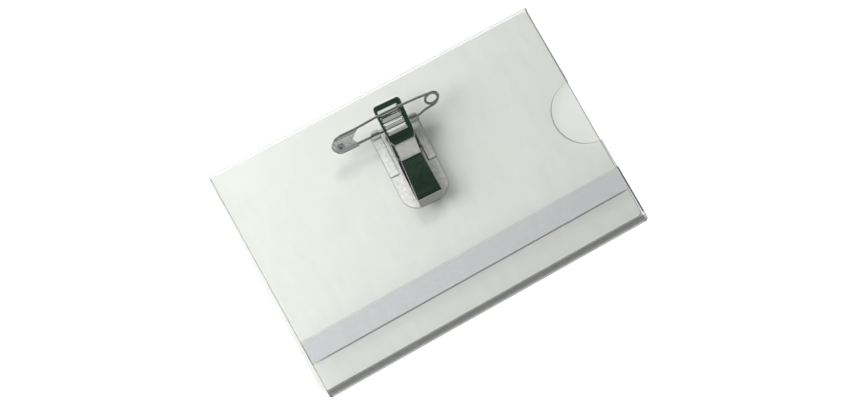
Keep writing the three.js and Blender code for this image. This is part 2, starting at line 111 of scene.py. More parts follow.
# Pin cap: its outline, the rolls round the two wires and the dimple pressed into it
CAP_LEFT, CAP_RIGHT, CAP_LOW, CAP_HIGH = -16.4, -9.1, -0.72, 5.47
CAP_NOTCH, CAP_NOTCH_DEPTH, CAP_TONGUE = 2.2, 1.8, 0.5
CAP_ROLL, CAP_WEB, CAP_MOUTH, CAP_SHOULDER = 0.7, 0.48, 0.37, 0.7
CAP_HOOK, CAP_HOOK_Q, CAP_HOOK_RISE = 0.6, 4.9, 0.2
DIMPLE_P, DIMPLE_Q, DIMPLE_RADIUS, DIMPLE_DEPTH = -14.2, 1.75, 0.42, 0.34


# --- Frames -----------------------------------------------------------------------------------------------

def named(rows, name):
    return next(row for row in rows if row["name"] == name)


def axes_matrix(x, y, z, origin):
    matrix = Matrix((x, y, z)).transposed().to_4x4()
    matrix.translation = origin
    return matrix


def clip_frame():
    """The clip's frame: x to the right, z out of the back panel, its origin on the panel under the pivot."""
    jaws, pin = (named(frame["joints"], name) for name in ("lever_pivot", "pin_swing"))
    x = Vector(pin["axis"]).normalized()
    towards_pin = Vector(pin["pos_m"]) - Vector(jaws["pos_m"])
    towards_pin = (towards_pin - x * towards_pin.dot(x)).normalized()
    drop = math.atan2(PIVOT_HEIGHT - PIN_HEIGHT, PIN_Y)
    y = Matrix.Rotation(drop, 3, x) @ towards_pin
    z = x.cross(y)
    return axes_matrix(x, y, z, Vector(jaws["pos_m"]) - (x * METAL_RIGHT + z * PIVOT_HEIGHT) * MM)


CLIP = clip_frame() @ Matrix.Scale(MM, 4)
STEEL_FRAME = CLIP @ Matrix.Translation((METAL_RIGHT, 0, 0))
PIN = CLIP @ Matrix.Translation((0, PIN_Y, PIN_HEIGHT)) @ Matrix.Rotation(math.radians(PIN_TILT), 4, "X")
POCKET = Matrix.Scale(MM, 4)


# --- Meshes -----------------------------------------------------------------------------------------------

def make_piece(name, vertices, faces, place, materials, body, replaced, marks=None, sharp=40):
    """A mesh object from points in millimetres in the frame place, riding on a body."""
    mesh = bpy.data.meshes.new(name)
    mesh.from_pydata([place @ Vector(p) for p in vertices], [], faces)
    for material in materials:
        mesh.materials.append(material)
    if marks:
        mesh.polygons.foreach_set("material_index", marks)
    piece = bpy.data.objects.new(name, mesh)
    bpy.context.scene.collection.objects.link(piece)
    return finish_piece(piece, body, replaced, sharp)


def copied(name, node, material):
    """A new object with a copy of a CAD node's mesh in one material."""
    mesh = frame["nodes"][node].data.copy()
    mesh.materials.clear()
    mesh.materials.append(material)
    piece = bpy.data.objects.new(name, mesh)
    bpy.context.scene.collection.objects.link(piece)
    return piece


def finish_piece(piece, body, replaced, sharp):
    """Smooth shading up to the sharp angle in degrees, and the piece's body and replaced nodes."""
    mesh = piece.data
    mesh.validate()
    mesh.shade_smooth()
    mesh.set_sharp_from_angle(angle=math.radians(sharp))
    if body:
        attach(piece, body)
    if replaced:
        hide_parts(*replaced)
    return piece


def bevelled(piece, width, segments=2, angle=50):
    """The piece with its edges rounded, from a width in millimetres and the least angle in degrees."""
    bevel = piece.modifiers.new("rounded edges", "BEVEL")
    bevel.width = width * MM
    bevel.segments = segments
    bevel.limit_method = "ANGLE"
    bevel.angle_limit = math.radians(angle)
    bevel.harden_normals = True
    return piece


def loft(sections, edge_columns=()):
    """Vertices, faces and marks of a solid through closed loops of equal length, capped at both ends. Where
    there are edge columns, their faces and the caps are marked as edges."""
    count = len(sections[0])
    vertices = [p for section in sections for p in section]
    faces, marks = [], []
    for row in range(len(sections) - 1):
        for i in range(count):
            j = (i + 1) % count
            a, b = row * count, (row + 1) * count
            faces.append((a + i, a + j, b + j, b + i))
            marks.append(EDGE if i in edge_columns else FACE)
    last = (len(sections) - 1) * count
    faces.append(tuple(reversed(range(count))))
    faces.append(tuple(range(last, last + count)))
    marks += [EDGE, EDGE] if edge_columns else [FACE, FACE]
    return vertices, faces, marks


def smooth_path(points, step):
    """Points along a centripetal Catmull-Rom curve through the given points, about one step apart."""
    points = [Vector(p) for p in points]
    ends = [2 * points[0] - points[1], *points, 2 * points[-1] - points[-2]]
    path = []
    for a, b, c, d in zip(ends, ends[1:], ends[2:], ends[3:]):
        knots = [0.0]
        for p, q in ((a, b), (b, c), (c, d)):
            knots.append(knots[-1] + math.sqrt((q - p).length))
        steps = max(2, round((c - b).length / step))
        for k in range(steps):
            t = knots[1] + (knots[2] - knots[1]) * k / steps
            path.append(blend_knots((a, b, c, d), knots, t))
    path.append(points[-1])
    return path


def blend_knots(points, knots, t):
    """The point at t on the curve through four points, blended pair by pair between their knots."""
    level = list(points)
    for spans in (((0, 1), (1, 2), (2, 3)), ((0, 2), (1, 3)), ((1, 2),)):
        merged = []
        for a, b, (first, last) in zip(level, level[1:], spans):
            share = (t - knots[first]) / (knots[last] - knots[first])
            merged.append(a * (1 - share) + b * share)
        level = merged
    return level[0]


def tube(path, radius_at, sides=20):
    """Sections of a round wire along a path, without twist. radius_at takes the share of the way."""
    sections = []
    normal = (path[1] - path[0]).orthogonal().normalized()
    for k, point in enumerate(path):
        along = (path[min(k + 1, len(path) - 1)] - path[max(k - 1, 0)]).normalized()
        normal = (normal - along * normal.dot(along)).normalized()
        side = along.cross(normal)
        radius = radius_at(k / (len(path) - 1))
        angles = [2 * math.pi * i / sides for i in range(sides)]
        sections.append([point + (normal * math.cos(a) + side * math.sin(a)) * radius for a in angles])
    return sections


# --- Materials --------------------------------------------------------------------------------------------

class Shader:
    """A node tree that is built up by short calls."""

    def __init__(self, name, owner=None):
        self.material = owner or bpy.data.materials.new(name)
        self.material.use_nodes = True
        self.tree = self.material.node_tree
        self.tree.nodes.clear()
        self.place = self.add("ShaderNodeTexCoord").outputs["Object"]

    def add(self, kind, **settings):
        node = self.tree.nodes.new(kind)
        for key, value in settings.items():
            setattr(node, key, value)
        return node

    def link(self, source, target):
        self.tree.links.new(source, target)

    def noise(self, scale, detail=3.0, stretch=(1, 1, 1)):
        """Noise with the given number of cells in a millimetre."""
        mapping = self.add("ShaderNodeMapping")
        mapping.inputs["Scale"].default_value = [s * scale / MM for s in stretch]
        texture = self.add("ShaderNodeTexNoise")
        texture.inputs["Scale"].default_value = 1.0
        texture.inputs["Detail"].default_value = detail
        self.link(self.place, mapping.inputs["Vector"])
        self.link(mapping.outputs["Vector"], texture.inputs["Vector"])
        return texture.outputs["Fac"]

    def spread(self, value, low, high, start=0.3, end=0.7):
        node = self.add("ShaderNodeMapRange")
        node.inputs["From Min"].default_value = start
        node.inputs["From Max"].default_value = end
        node.inputs["To Min"].default_value = low
        node.inputs["To Max"].default_value = high
        self.link(value, node.inputs["Value"])
        return node.outputs["Result"]

    def colours(self, value, low, high):
        """A colour between low and high, each of them a colour or the output of another node."""
        node = self.add("ShaderNodeMix", data_type="RGBA")
        ends = [socket for socket in node.inputs if socket.type == "RGBA"]
        for socket, colour in zip(ends, (low, high)):
            if isinstance(colour, bpy.types.NodeSocket):
                self.link(colour, socket)
            else:
                socket.default_value = (*colour, 1)
        self.link(value, node.inputs[0])
        return next(socket for socket in node.outputs if socket.type == "RGBA")

    def bump(self, height, distance, strength=1.0):
        node = self.add("ShaderNodeBump")
        node.inputs["Distance"].default_value = distance * MM
        node.inputs["Strength"].default_value = strength
        self.link(height, node.inputs["Height"])
        return node.outputs["Normal"]

    def facing(self, blend=0.5):
        node = self.add("ShaderNodeLayerWeight")
        node.inputs["Blend"].default_value = blend
        return node.outputs["Facing"]

    def principled(self, **values):
        node = self.add("ShaderNodeBsdfPrincipled")
        for key, value in values.items():
            socket = node.inputs[key.replace("_", " ")]
            if isinstance(value, bpy.types.NodeSocket):
                self.link(value, socket)
            else:
                socket.default_value = (*value, 1) if isinstance(value, tuple) else value
        return node.outputs["BSDF"]

    def transparent(self, colour):
        node = self.add("ShaderNodeBsdfTransparent")
        self.link(colour, node.inputs["Color"])
        return node.outputs["BSDF"]

    def mix(self, share, first, second):
        node = self.add("ShaderNodeMixShader")
        self.link(share, node.inputs[0])
        self.link(first, node.inputs[1])
        self.link(second, node.inputs[2])
        return node.outputs["Shader"]

    def done(self, surface):
        output = self.add("ShaderNodeOutputMaterial")
        self.link(surface, output.inputs["Surface"])
        return self.material


def clear_plastic(name, clear, rim, solid, solid_rim, body, roughness=0.06, mottle=0.0, blend=0.35,
                  pale=None):
    """Clear plastic that lamps shine through. What is behind it is tinted clear face on and rim at a glancing
    angle. solid and solid_rim are the shares of its own gloss and body colour at those angles. mottle is how
    cloudy the tint is, and pale is the body colour face on where it differs, a painted light on faces in
    shade."""
    pale = pale or body
    s = Shader(name)
    facing = s.facing(blend)
    cloud = s.spread(s.noise(1.0, 2.0), 0, 1, 0.42, 0.62)
    face = s.colours(cloud, clear, tuple((1 - mottle) * c for c in clear))
    tint = s.colours(facing, face, rim)
    streaks = s.spread(s.noise(0.35, 4.0, (1, 0.3, 1)), 0, 0.02)
    weight = s.add("ShaderNodeMath", operation="ADD", use_clamp=True)
    s.link(s.spread(facing, solid, solid_rim, 0.0, 1.0), weight.inputs[0])
    s.link(streaks, weight.inputs[1])
    gloss = s.principled(
        Base_Color=s.colours(facing, s.colours(cloud, tuple(0.96 * c for c in pale), pale), body),
        Roughness=s.spread(s.noise(1.6, 3.0), roughness * 0.7, roughness * 1.6),
        IOR=1.53,
        Normal=s.bump(s.noise(0.6, 2.0), 0.007 + 0.1 * mottle),
    )
    seen = s.mix(weight.outputs["Value"], s.transparent(tint), gloss)
    lamp = s.add("ShaderNodeBsdfTransparent")
    lamp.inputs["Color"].default_value = (0.99, 0.99, 0.99, 1)
    ray = s.add("ShaderNodeLightPath")
    return s.done(s.mix(ray.outputs["Is Shadow Ray"], seen, lamp.outputs["BSDF"]))


def nickel(name, colour, roughness, ripple=0.004):
    """Plated metal with faint clouds, fine scratches along its length and a slightly rippled skin."""
    s = Shader(name)
    cloudy = s.noise(0.7, 4.0)
    scratches = s.noise(2.4, 5.0, (1, 0.12, 1))
    return s.done(
        s.principled(
            Base_Color=s.colours(s.spread(cloudy, 0, 1), tuple(0.9 * c for c in colour), colour),
            Metallic=1.0,
            Roughness=s.spread(scratches, roughness * 0.75, roughness * 1.5),
            Normal=s.bump(cloudy, ripple),
        )
    )


def card_paper():
    """White card with faint clouds and fine fibres."""
    s = Shader("card_paper")
    fibres = s.noise(3.0, 6.0, (1, 0.4, 1))
    clouds = s.noise(0.12, 4.0)
    return s.done(
        s.principled(
            Base_Color=s.colours(s.spread(clouds, 0, 1), (0.83, 0.835, 0.815), (0.86, 0.865, 0.845)),
            Roughness=s.spread(fibres, 0.62, 0.8),
            Normal=s.bump(fibres, 0.005),
        )
    )


SHEET_FACE = clear_plastic("sheet_face", (0.982, 0.98, 0.975), (0.55, 0.57, 0.56), 0.03, 0.6,
                           (0.72, 0.74, 0.73))
SHEET_FLAP = clear_plastic("sheet_flap", (0.96, 0.96, 0.957), (0.55, 0.57, 0.56), 0.04, 0.6,
                           (0.66, 0.67, 0.66))
# Painted shade on the sheet's cut edges: a dark grey that stands in for their refraction.
SHEET_EDGE_SHADE = clear_plastic("sheet_edge_shade", (0.45, 0.46, 0.45), (0.3, 0.31, 0.3), 0.4, 0.95,
                           (0.13, 0.14, 0.135), 0.25)
# Painted shade along the sheet's rims and rounded edges: a grey line that stands in for their refraction.
SHEET_RIM_SHADE = clear_plastic("sheet_rim_shade", (0.75, 0.755, 0.745), (0.6, 0.6, 0.59), 0.12, 0.55,
                          (0.42, 0.425, 0.415), 0.15)
# Painted shade in the bottom bend: a grey band that stands in for the bend's refraction and shadow.
SHEET_BEND_SHADE = clear_plastic("sheet_bend_shade", (0.78, 0.78, 0.77), (0.96, 0.96, 0.96), 0.34, 0.3,
                           (0.2, 0.21, 0.2), 0.2)
# Painted shade along the top crease, where the fold looks grey.
SHEET_CREASE_SHADE = clear_plastic("sheet_crease_shade", (0.90, 0.90, 0.895), (0.88, 0.88, 0.88), 0.05, 0.3,
                             (0.6, 0.6, 0.59))
TAPE_MILKY = clear_plastic("tape_milky", (0.65, 0.667, 0.69), (0.7, 0.74, 0.78), 0.97, 1.0,
                           (0.65, 0.667, 0.69), 0.5)
PAD_MILKY = clear_plastic("pad_milky", (0.97, 0.97, 0.955), (0.9, 0.91, 0.92), 0.97, 1.0,
                          (0.97, 0.97, 0.955), 0.5)
# Clear mould with painted light and shade: the dark rim colour paints shade along the base's sides and rails,
# and the pale face-on body paints light onto the base where the lever shades it.
MOULD_SHADE_AND_LIGHT = clear_plastic("mould_clear_shade_and_light", (0.985, 0.985, 0.98), (0.06, 0.07, 0.065), 0.16, 0.9,
                      (0.32, 0.34, 0.33), 0.1, 0.14, 0.68, (0.97, 0.97, 0.965))
CARD_PAPER = card_paper()
NICKEL = nickel("nickel_bright", (0.70, 0.705, 0.685), 0.07, 0.014)
# The pin's wire: the plate's nickel painted darker, a painted shade for the dark surroundings the thin wire
# mirrors.
NICKEL_WIRE_SHADED = nickel("nickel_wire_shaded", (0.33, 0.345, 0.335), 0.14)
# The cap's nickel: rougher like satin, and painted darker as a painted shade for the darkness it mirrors.
NICKEL_SATIN_SHADED = nickel("nickel_satin_shaded", (0.47, 0.475, 0.465), 0.15, 0.004)
# The lower jaw: the same nickel painted dark, a painted shade for the shadow under the lever.
NICKEL_SHADED = nickel("nickel_shaded", (0.3, 0.305, 0.3), 0.16)
SPRING_STEEL = nickel("spring_steel", (0.45, 0.45, 0.44), 0.28)


# --- Folded sheet -----------------------------------------------------------------------------------------

pocket_low, pocket_high = (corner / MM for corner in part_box("pocket_shell"))
HALF_WIDTH = (pocket_high.x - pocket_low.x) / 2
HALF_HEIGHT = (pocket_high.y - pocket_low.y) / 2

top_centre = Vector((HALF_HEIGHT - TOP_BEND, TOP_BEND))
bottom_centre = Vector((-HALF_HEIGHT + BOTTOM_BEND, BOTTOM_BEND))
lean = math.asin((2 * (BOTTOM_BEND - TOP_BEND) + SHEET + TAPE) / (top_centre.x - bottom_centre.x))
outward = Vector((math.sin(lean), math.cos(lean)))
up_slope = Vector((math.cos(lean), -math.sin(lean)))
panel_top = top_centre + outward * TOP_BEND


def on_back(down, height):
    """The (y, z) of a point on the leaning back, a distance below the crease and a height over its face."""
    return panel_top + up_slope * (TOP_BEND - down) + outward * height


def bend_rows(centre, radius, start, end, steps):
    """(point on the outer face, direction out of it) round a bend, from one angle to another in degrees."""
    rows = []
    for k in range(steps + 1):
        a = math.radians(start + (end - start) * k / steps)
        direction = Vector((math.cos(a), math.sin(a)))
        rows.append((centre + direction * radius, direction))
    return rows


def notch_reach(down):
    """How far the thumb notch cuts into the back panel's right edge at a distance below the crease."""
    return math.sqrt(max(NOTCH_RADIUS**2 - (down - NOTCH_DOWN) ** 2, 0))


def sheet_rows():
    """Rows round the folded sheet, from the back panel's lower edge over the crease to the flap's upper edge:
    the point on the outer face, the direction out of it and the inset of the right edge."""
    notch_steps, notch_lip = 48, 0.01
    notch = [NOTCH_DOWN + NOTCH_RADIUS * math.cos(math.pi * k / notch_steps) for k in range(notch_steps + 1)]
    downs = [BACK_LENGTH, 50, 46, 42, NOTCH_DOWN + NOTCH_RADIUS + notch_lip, *notch]
    downs += [NOTCH_DOWN - NOTCH_RADIUS - notch_lip, 19, 16, 13, 10, 7, 4, 2.2, 1.7]
    rows = [(on_back(down, 0), outward, BACK_INSET + notch_reach(down)) for down in downs]
    face_angle = 90 - math.degrees(lean)
    rows += [(*row, 0) for row in bend_rows(top_centre, TOP_BEND, face_angle, -90, 24)]
    span = top_centre.x - bottom_centre.x
    rows += [(Vector((top_centre.x - span * k / 12, 0)), Vector((0, -1)), 0) for k in range(1, 12)]
    # the row where the bottom bend's painted shade starts
    rows.append((Vector((bottom_centre.x + BEND_SHADE_REACH, 0)), Vector((0, -1)), 0))
    rows += [(*row, 0) for row in bend_rows(bottom_centre, BOTTOM_BEND, -90, face_angle - 360, 36)]
    last = rows[-1][0] + up_slope * BEND_SHADE_REACH
    rows.append((last, outward, 0))
    rows += [(on_back(down, -SHEET - TAPE), outward, 0) for down in (56, 54, 52, 50, 48, FLAP_TOP)]
    return rows


def corner_inset(y):
    """How far the rounded lower corners of the folded sheet's plan cut in at y."""
    left = min(CORNER, y + HALF_HEIGHT)
    return CORNER - math.sqrt(max(CORNER**2 - (CORNER - left) ** 2, 0)) if left < CORNER else 0


def sheet_section(point, direction, right_inset, columns=SHEET_COLUMNS):
    """A closed loop across the sheet: its outer face from left to right, then its inner face back."""
    corner = corner_inset(point.x)
    left, right = -HALF_WIDTH + corner, HALF_WIDTH - max(right_inset, corner)
    outer, inner = [], []
    right_rim = BACK_RIM if right_inset else FLAP_RIM
    inner_left, inner_right = left + LEFT_RIM, right - right_rim
    inside = [inner_left + (inner_right - inner_left) * k / columns for k in range(columns + 1)]
    for x in [left, *inside, right]:
        rest = 0.5 - 0.5 * math.cos(2 * math.pi * (x - left) / (right - left))
        dip = 0.012 * rest * (1 + noise.noise((x * 0.05, point.x * 0.06, direction.y * 2)))
        face = point - direction * dip
        back = point - direction * SHEET
        outer.append((x, face.x, face.y))
        inner.append((x, back.x, back.y))
    return outer + inner[::-1]


def sheet_mark(y_low, y_high, column, count, on_flap):
    """The material slot of a face of the sheet, from the range of y it covers and its column of the loop."""
    last = count // 2 - 2
    on_left, on_right = column in (0, 2 * last + 2), column in (last, last + 2)
    if y_low < -HALF_HEIGHT + CREASE_LINE / 2 or on_right and on_flap:
        return EDGE
    if on_left or on_right or y_high > HALF_HEIGHT - CREASE_LINE:
        return RIM
    if y_low > top_centre.x - CREASE_ZONE:
        return CREASE
    if y_high < bottom_centre.x + BEND_SHADE_REACH + 0.01:
        return BEND
    return FLAP if on_flap else FACE


def make_sheet():
    """The folded sheet, with its edges, bends and flap marked so that each has its own material."""
    rows = sheet_rows()
    sections = [sheet_section(*row) for row in rows]
    count = len(sections[0])
    vertices, faces, marks = loft(sections, {count // 2 - 1, count - 1})
    flap_starts = (len(rows) - FLAP_ROWS - 1) * count
    for number, face in enumerate(faces):
        if marks[number] != EDGE:
            ys = [vertices[v][1] for v in face]
            marks[number] = sheet_mark(min(ys), max(ys), number % count, count, number >= flap_starts)
    # The edge, bend, crease and rim materials paint shade into the sheet.
    materials = [SHEET_FACE, SHEET_EDGE_SHADE, SHEET_BEND_SHADE, SHEET_FLAP, SHEET_CREASE_SHADE, SHEET_RIM_SHADE]
    sheet = make_piece("pocket_sheet", vertices, faces, POCKET, materials, "holder",
                       ["pocket_shell"], marks)
    # The rounded edges take the rim's painted shade.
    bevelled(sheet, 0.19).modifiers["rounded edges"].material = RIM


def make_card():
    """The paper card, slightly bowed across the pocket."""
    low, high = (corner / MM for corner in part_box("insert_card"))
    high.x -= CARD_SHORT
    rows, columns = 40, 60
    round_off = [CARD_CORNER * (1 - math.cos(math.pi / 2 * k / 6)) for k in range(7)]
    ys = [low.y + d for d in round_off] + [low.y + (high.y - low.y) * r / rows for r in range(2, rows - 1)]
    ys += [high.y - d for d in reversed(round_off)]
    sections = []
    for y in ys:
        near = max(CARD_CORNER - min(y - low.y, high.y - y), 0)
        inset = CARD_CORNER - math.sqrt(max(CARD_CORNER**2 - near**2, 0))
        bow = CARD_BOW * math.cos(math.pi * ((y - low.y) / (high.y - low.y) - 0.5))
        top, bottom = [], []
        for c in range(columns + 1):
            x = low.x + inset + (high.x - low.x - 2 * inset) * c / columns
            lift = bow * math.cos(math.pi * (c / columns - 0.5)) ** 2
            lift += 0.02 * noise.noise((x * 0.06, y * 0.06, 1.7))
            top.append((x, y, high.z + lift))
            bottom.append((x, y, low.z + lift))
        sections.append(top + bottom[::-1])
    vertices, faces, _ = loft(sections)
    card = make_piece("badge_card", vertices, faces, POCKET, [CARD_PAPER], "card", ["insert_card"])
    bevelled(card, 0.04)


# --- Moulded base -----------------------------------------------------------------------------------------

def moulded(name, node, material, body, voxel, passes):
    """A copy of a CAD node with its edges rounded as a mould leaves them."""
    piece = copied(name, node, material)
    remesh = piece.modifiers.new("even skin", "REMESH")
    remesh.mode = "VOXEL"
    remesh.voxel_size = voxel * MM
    remesh.use_smooth_shade = True
    soften = piece.modifiers.new("soft edges", "SMOOTH")
    soften.factor = 0.5
    soften.iterations = passes
    settled = bpy.data.meshes.new_from_object(piece.evaluated_get(bpy.context.evaluated_depsgraph_get()))
    piece.modifiers.clear()
    piece.data = settled
    return finish_piece(piece, body, [node], 180)


# --- Steel clip -------------------------------------------------------------------------------------------

def line_through(points, y):
    """The height at y of a line through (y, z) points in rising order of y."""
    for (y0, z0), (y1, z1) in zip(points, points[1:]):
        if y <= y1:
            return z0 + (z1 - z0) * (max(y, y0) - y0) / (y1 - y0)
    return points[-1][1]


def channel_section(point, up, half, bottom, bend, crown, columns=28):
    """A closed loop across a pressed steel channel. point and up are the sheet's upper side and its normal in
    (y, z). The flanges reach down to the height bottom, and crown(x) lifts the web."""
    depth = max(point.y - bottom, STEEL)

    def place(x, drop):
        web = point - up * min(drop, STEEL) + up * crown(x)
        return (x, web.x, web.y - max(drop - STEEL, 0))

    def mirrored(side, web_half, drop):
        """A side of the channel, the web between its two bends at the given depth, and the other side."""
        web = [(-web_half + 2 * web_half * k / columns, drop) for k in range(columns + 1)]
        return side + web + [(-x, d) for x, d in reversed(side)]

    flange = [1 - k / 3 for k in range(4)]
    turn = [math.pi / 2 * k / 6 for k in range(1, 6)]
    outer = [(-half, bend + (depth - bend) * share) for share in flange]
    outer += [(-half + bend * (1 - math.cos(a)), bend * (1 - math.sin(a))) for a in turn]
    inner_half, inner_bend = half - STEEL * 0.999, 0.02
    below = STEEL + inner_bend
    drops = [below + (depth - below) * share if depth > STEEL + 0.05 else STEEL for share in flange]
    inner = [(-inner_half, drop) for drop in [depth, *drops[1:]]]
    inner += [(-inner_half + inner_bend * k / 6, STEEL) for k in range(1, 6)]
    loop = mirrored(outer, half - bend, 0) + mirrored(inner, inner_half - inner_bend, STEEL)[::-1]
    return [place(x, drop) for x, drop in loop]


def lever_line():
    """The lever's upper side in (y, z), with rounded corners, from the front lip to the rolled rear edge."""
    lip = [(-14.1, 1.95), (-13.5, 2.52), (-12.8, 3.13), (-12.55, 3.36)]
    jaw = [(-12.2, 3.43), (-2.6, 4.13), (-2.2, 4.16), (-1.9, 4.27)]
    roll_centre = Vector((LEVER_REAR - LEVER_ROLL, 7.02 - LEVER_ROLL, 0))
    pad = [(1.9, 5.85), (2.15, 5.93), (2.5, 6.0), (3.7, 6.17), (4.2, 6.24), (roll_centre.x - 0.3, 6.99)]
    points = [Vector((y, z, 0)) for y, z in lip + jaw + pad]
    for k in range(9):
        a = math.radians(85 - 95 * k / 8)
        points.append(roll_centre + Vector((math.cos(a), math.sin(a), 0)) * LEVER_ROLL)
    return [Vector((p.x, p.y)) for p in smooth_path(points, 0.07)]


def lever_half(y):
    """Half the lever's width: wide jaws, a narrow neck at the pivot and a wide pad with round corners."""
    plan = [(-14.2, JAW_HALF), (-12.6, JAW_HALF), (-2.1, NECK_HALF), (1.85, NECK_HALF),
            (3.4, PAD_HALF - PAD_TAPER), (11.4, PAD_HALF), (13, PAD_HALF)]
    over = min(y - (LEVER_REAR - LEVER_CORNER), LEVER_CORNER)
    cut = LEVER_CORNER - math.sqrt(max(LEVER_CORNER**2 - over**2, 0.01)) if over > 0 else 0
    return line_through(plan, y) - cut


def lever_bottom(y):
    """The height of the lower edge of the lever's flanges, or one over the lever where it has no flanges."""
    none, cheek_end = 9, LEVER_CHEEK - 0.02
    if abs(y) < cheek_end:
        return PIVOT_HEIGHT - math.sqrt(LEVER_CHEEK**2 - y**2)
    jaw = [(-12.1, none), (-12.0, 2.8), (-3.2, 3.0), (-2.7, 3.75), (-1.5, 4.0), (-cheek_end, 3.2)]
    pad = [(cheek_end, 3.2), (1.6, 5.2), (2.0, 5.6), (5.6, 5.75), (6.6, 5.72), (11.4, 6.1), (11.9, none)]
    return line_through(jaw + pad, y)


def rib_height(y):
    """How far the pressed ribs lift the thumb pad at y: ridges with even flanks and a rounded top."""
    lift = 0
    for i in range(RIB_COUNT):
        u = (y - RIB_LAST - i * RIB_PITCH) / RIB_WIDTH
        lift += RIB_HEIGHT * max(1.18 - math.sqrt(u * u + 0.04), 0)
    return lift


def make_lever():
    """The upper jaw and thumb lever: one pressed channel with ribs across its pad."""
    line = lever_line()
    sections = []
    for k, point in enumerate(line):
        along = (line[min(k + 1, len(line) - 1)] - line[max(k - 1, 0)]).normalized()
        up = Vector((-along.y, along.x))

        def crown(x, rise=rib_height(point.x)):
            end = min(max(min(x - RIB_LEFT, RIB_RIGHT - x) / RIB_END, 0), 1)
            return rise * end * end * (3 - 2 * end)

        half, bottom = lever_half(point.x), lever_bottom(point.x)
        sections.append(channel_section(point, up, half, bottom, LEVER_BEND, crown))
    vertices, faces, _ = loft(sections)
    lever = make_piece("jaw_lever", vertices, faces, STEEL_FRAME, [NICKEL], "lever", ["upper_jaw"])
    bevelled(lever, 0.05, 2, 60)


def make_spring():
    """The spring round the pivot, copied whole from the CAD model; it rides on no body, so neither leg
    follows the lever.
    """
    spring = copied("jaw_spring_wire", "jaw_spring", SPRING_STEEL)
    finish_piece(spring, None, ["jaw_spring"], 40)
    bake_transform(spring)


# --- Safety pin -------------------------------------------------------------------------------------------

def coil_points(start, end, step):
    """Points of the pin's coil between two angles in degrees: it winds in to its small loop and out again."""
    points = []
    count = round((start - end) / step)
    for k in range(count + 1):
        angle = start + (end - start) * k / max(count, 1)
        t = (90 - angle) / (360 * COIL_TURNS)
        radius = COIL_INNER + (COIL_OUTER - COIL_INNER) * math.cos(math.pi * t) ** 4
        a = math.radians(angle)
        p = COIL_P + radius * math.cos(a)
        q = COIL_Q + COIL_RISE * math.sin(math.pi * t) + radius * math.sin(a)
        points.append((p, q, COIL_DEPTH * (1 - 2 * t)))
    return points


def even_wire(share):
    return WIRE


def pointed_wire(share):
    """The free arm's radius along its length, from its sharp tip."""
    return POINT_RADIUS + (WIRE - POINT_RADIUS) * min(share / POINT_SHARE, 1) ** 0.8


def wire_piece(name, points, body, node, radius_at=even_wire):
    """A piece of the pin's wire through points in the pin's plane."""
    vertices, faces, _ = loft(tube(smooth_path(points, 0.12), radius_at))
    return make_piece(name, vertices, faces, PIN, [NICKEL_WIRE_SHADED], body, [node])


def make_free_arm():
    """The pin's sharp arm and the quarter of the coil that moves with it."""
    tip = [(FREE_TIP, 4.70, 0), (FREE_TIP + 1.6, 4.72, 0), (CAP_RIGHT, 4.84, 0.03)]
    arm = [(-3, 5.45, 0.15), (4, 5.62, 0.3), (8, 5.55, 0.42)]
    points = tip + arm + coil_points(90, COIL_SPLIT, 15)
    wire_piece("pin_free_wire", points, "pin_arm", "pin_free_arm", pointed_wire)


def make_fixed_arm():
    """The pin's arm in the base, from the coil to the cap."""
    bent = coil_points(COIL_END, COIL_END, 15) + [(8.6, 0.2, -0.42), (BASE_HALF + 0.6, 0, -0.02)]
    straight = [(BASE_HALF, 0, 0), (0, 0, 0), (-BASE_HALF, 0, 0), (CAP_RIGHT, 0, 0), (FIXED_TIP, 0.1, 0)]
    wire_piece("pin_fixed_wire", bent + straight, "pin", "pin_fixed_arm")


def make_coil():
    """The pin's coil between its two arms."""
    points = coil_points(COIL_SPLIT, COIL_END, 5)
    coil = wire_piece("pin_coil_wire", points, None, "pin_coil")
    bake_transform(coil)


def cap_ends(q):
    """The cap's left and right ends at q: a half circle on the left and a notch between two tongues."""
    bow = (CAP_HIGH - CAP_LOW) / 2
    left = CAP_LEFT + bow - math.sqrt(max(bow**2 - (q - CAP_LOW - bow) ** 2, 0)) * 0.999
    rounded, notch = CAP_RIGHT - CAP_TONGUE, CAP_RIGHT - CAP_NOTCH_DEPTH
    lower = [(CAP_LOW, rounded), (CAP_NOTCH, notch)]
    upper = [(CAP_HIGH - CAP_TONGUE, CAP_RIGHT), (CAP_HIGH, rounded)]
    return left, line_through(lower + upper, q)


def cap_height(q):
    """Half the cap's thickness at q: the sheet is rolled round both wires and pressed flat between them."""
    lower = math.sqrt(max(CAP_ROLL**2 - q**2, 0))
    across = CAP_HOOK**2 - (q - CAP_HOOK_Q) ** 2
    upper = CAP_HOOK_RISE + math.sqrt(across) if across > 0 else 0
    web = CAP_WEB if 0 < q < CAP_HOOK_Q else 0
    return (lower**8 + upper**8 + web**8) ** 0.125


def cap_dent(p, q):
    """How deep the dimple and the raised ring round it press the cap's front down at (p, q)."""
    if q >= CAP_HOOK_Q:
        return 0
    away = ((p - DIMPLE_P) ** 2 + (q - DIMPLE_Q) ** 2) / DIMPLE_RADIUS**2
    return DIMPLE_DEPTH * (math.exp(-(away**2)) - 0.3 * math.exp(-((math.sqrt(away) - 1.7) ** 2) * 6))


